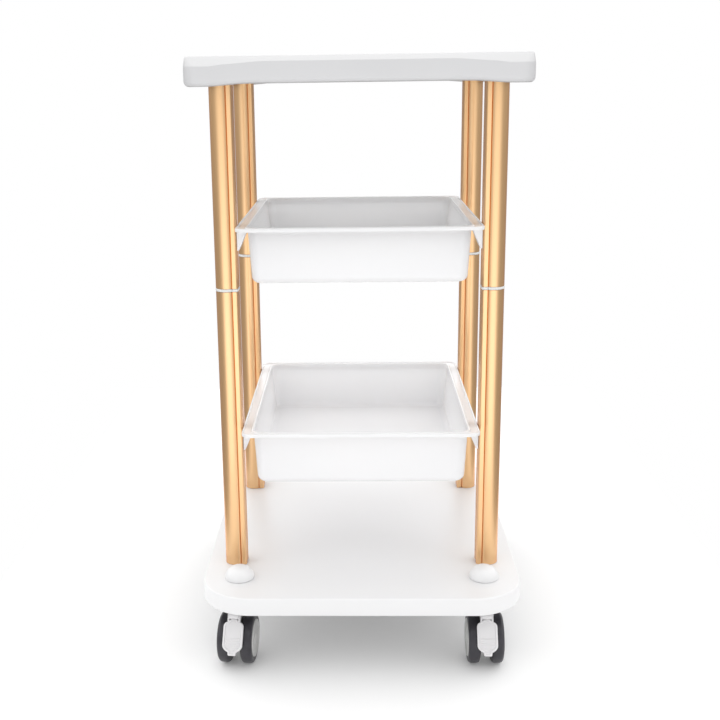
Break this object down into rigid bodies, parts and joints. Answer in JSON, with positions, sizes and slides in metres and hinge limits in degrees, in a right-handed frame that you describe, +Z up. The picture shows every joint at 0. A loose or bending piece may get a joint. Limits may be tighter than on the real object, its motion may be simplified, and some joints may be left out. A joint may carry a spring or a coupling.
{
  "type": "spa trolley cart",
  "caption": "Rolling spa trolley with a white top board and base board on gold posts, hung trays between them and swivel casters with brake pedals.",
  "frame": {"origin": "on the floor under the middle of the cart", "axes": "+Z up, -Y towards the front, +X to the right seen from the front"},
  "size_m": [0.374, 0.4704, 0.694],
  "materials": {
    "board_white": "smooth moulded, softly glossy",
    "tray_white": "glossy moulded",
    "gold_anodised": "satin gold anodised extrusion",
    "joint_white": "moulded",
    "steel": "zinc plated",
    "caster_grey": "moulded nylon",
    "tyre_black": "satin polyurethane",
    "hub_grey": "moulded nylon",
    "pedal_white": "moulded nylon"
  },
  "bodies": {
    "frame": {"base_board": "board_white", "top_board": "board_white", "lower_tray": "tray_white", "upper_tray": "tray_white", "front_left_lower_post": "gold_anodised", "front_left_upper_post": "gold_anodised", "front_left_post_joint": "joint_white", "front_left_lower_tray_bracket": "tray_white", "front_left_upper_tray_bracket": "tray_white", "front_left_caster_cap": "board_white", "front_left_caster_stem": "steel", "front_right_lower_post": "gold_anodised", "front_right_upper_post": "gold_anodised", "front_right_post_joint": "joint_white", "front_right_lower_tray_bracket": "tray_white", "front_right_upper_tray_bracket": "tray_white", "front_right_caster_cap": "board_white", "front_right_caster_stem": "steel", "rear_left_lower_post": "gold_anodised", "rear_left_upper_post": "gold_anodised", "rear_left_post_joint": "joint_white", "rear_left_lower_tray_bracket": "tray_white", "rear_left_upper_tray_bracket": "tray_white", "rear_left_caster_cap": "board_white", "rear_left_caster_stem": "steel", "rear_right_lower_post": "gold_anodised", "rear_right_upper_post": "gold_anodised", "rear_right_post_joint": "joint_white", "rear_right_lower_tray_bracket": "tray_white", "rear_right_upper_tray_bracket": "tray_white", "rear_right_caster_cap": "board_white", "rear_right_caster_stem": "steel"},
    "front_left_swivel": {"front_left_caster_housing": "caster_grey", "front_left_caster_axle": "steel"},
    "front_left_outer_wheel": {"front_left_caster_outer_tyre": "tyre_black", "front_left_caster_outer_hub": "hub_grey"},
    "front_left_inner_wheel": {"front_left_caster_inner_tyre": "tyre_black", "front_left_caster_inner_hub": "hub_grey"},
    "front_left_pedal": {"front_left_caster_brake_pedal": "pedal_white"},
    "front_right_swivel": {"front_right_caster_housing": "caster_grey", "front_right_caster_axle": "steel"},
    "front_right_outer_wheel": {"front_right_caster_outer_tyre": "tyre_black", "front_right_caster_outer_hub": "hub_grey"},
    "front_right_inner_wheel": {"front_right_caster_inner_tyre": "tyre_black", "front_right_caster_inner_hub": "hub_grey"},
    "front_right_pedal": {"front_right_caster_brake_pedal": "pedal_white"},
    "rear_left_swivel": {"rear_left_caster_housing": "caster_grey", "rear_left_caster_axle": "steel"},
    "rear_left_outer_wheel": {"rear_left_caster_outer_tyre": "tyre_black", "rear_left_caster_outer_hub": "hub_grey"},
    "rear_left_inner_wheel": {"rear_left_caster_inner_tyre": "tyre_black", "rear_left_caster_inner_hub": "hub_grey"},
    "rear_left_pedal": {"rear_left_caster_brake_pedal": "pedal_white"},
    "rear_right_swivel": {"rear_right_caster_housing": "caster_grey", "rear_right_caster_axle": "steel"},
    "rear_right_outer_wheel": {"rear_right_caster_outer_tyre": "tyre_black", "rear_right_caster_outer_hub": "hub_grey"},
    "rear_right_inner_wheel": {"rear_right_caster_inner_tyre": "tyre_black", "rear_right_caster_inner_hub": "hub_grey"},
    "rear_right_pedal": {"rear_right_caster_brake_pedal": "pedal_white"}
  },
  "joints": [
    {"name": "front_left_swivel_turn", "type": "hinge", "parent": "frame", "child": "front_left_swivel", "pos_m": [-0.1445, -0.176, 0.0728], "axis": [0, 0, 1], "continuous": true},
    {"name": "front_left_outer_wheel_spin", "type": "hinge", "parent": "front_left_swivel", "child": "front_left_outer_wheel", "pos_m": [-0.14633, -0.1934, 0.02974], "axis": [0.9945, -0.1045, 0], "continuous": true},
    {"name": "front_left_inner_wheel_spin", "type": "hinge", "parent": "front_left_swivel", "child": "front_left_inner_wheel", "pos_m": [-0.14633, -0.1934, 0.02974], "axis": [0.9945, -0.1045, 0], "continuous": true},
    {"name": "front_left_pedal_press", "type": "hinge", "parent": "front_left_swivel", "child": "front_left_pedal", "pos_m": [-0.14797, -0.20906, 0.06608], "axis": [-0.9945, 0.1045, 0], "range_deg": [0, 25]},
    {"name": "front_right_swivel_turn", "type": "hinge", "parent": "frame", "child": "front_right_swivel", "pos_m": [0.1445, -0.176, 0.0728], "axis": [0, 0, 1], "continuous": true},
    {"name": "front_right_outer_wheel_spin", "type": "hinge", "parent": "front_right_swivel", "child": "front_right_outer_wheel", "pos_m": [0.1445, -0.1935, 0.02974], "axis": [1, 0, 0], "continuous": true},
    {"name": "front_right_inner_wheel_spin", "type": "hinge", "parent": "front_right_swivel", "child": "front_right_inner_wheel", "pos_m": [0.1445, -0.1935, 0.02974], "axis": [1, 0, 0], "continuous": true},
    {"name": "front_right_pedal_press", "type": "hinge", "parent": "front_right_swivel", "child": "front_right_pedal", "pos_m": [0.1445, -0.20924, 0.06608], "axis": [-1, 0, 0], "range_deg": [0, 25]},
    {"name": "rear_left_swivel_turn", "type": "hinge", "parent": "frame", "child": "rear_left_swivel", "pos_m": [-0.1445, 0.176, 0.0728], "axis": [0, 0, 1], "continuous": true},
    {"name": "rear_left_outer_wheel_spin", "type": "hinge", "parent": "rear_left_swivel", "child": "rear_left_outer_wheel", "pos_m": [-0.1445, 0.1935, 0.02974], "axis": [1, 0, 0], "continuous": true},
    {"name": "rear_left_inner_wheel_spin", "type": "hinge", "parent": "rear_left_swivel", "child": "rear_left_inner_wheel", "pos_m": [-0.1445, 0.1935, 0.02974], "axis": [1, 0, 0], "continuous": true},
    {"name": "rear_left_pedal_press", "type": "hinge", "parent": "rear_left_swivel", "child": "rear_left_pedal", "pos_m": [-0.1445, 0.20924, 0.06608], "axis": [1, 0, 0], "range_deg": [0, 25]},
    {"name": "rear_right_swivel_turn", "type": "hinge", "parent": "frame", "child": "rear_right_swivel", "pos_m": [0.1445, 0.176, 0.0728], "axis": [0, 0, 1], "continuous": true},
    {"name": "rear_right_outer_wheel_spin", "type": "hinge", "parent": "rear_right_swivel", "child": "rear_right_outer_wheel", "pos_m": [0.1445, 0.1935, 0.02974], "axis": [1, 0, 0], "continuous": true},
    {"name": "rear_right_inner_wheel_spin", "type": "hinge", "parent": "rear_right_swivel", "child": "rear_right_inner_wheel", "pos_m": [0.1445, 0.1935, 0.02974], "axis": [1, 0, 0], "continuous": true},
    {"name": "rear_right_pedal_press", "type": "hinge", "parent": "rear_right_swivel", "child": "rear_right_pedal", "pos_m": [0.1445, 0.20924, 0.06608], "axis": [1, 0, 0], "range_deg": [0, 25]}
  ]
}
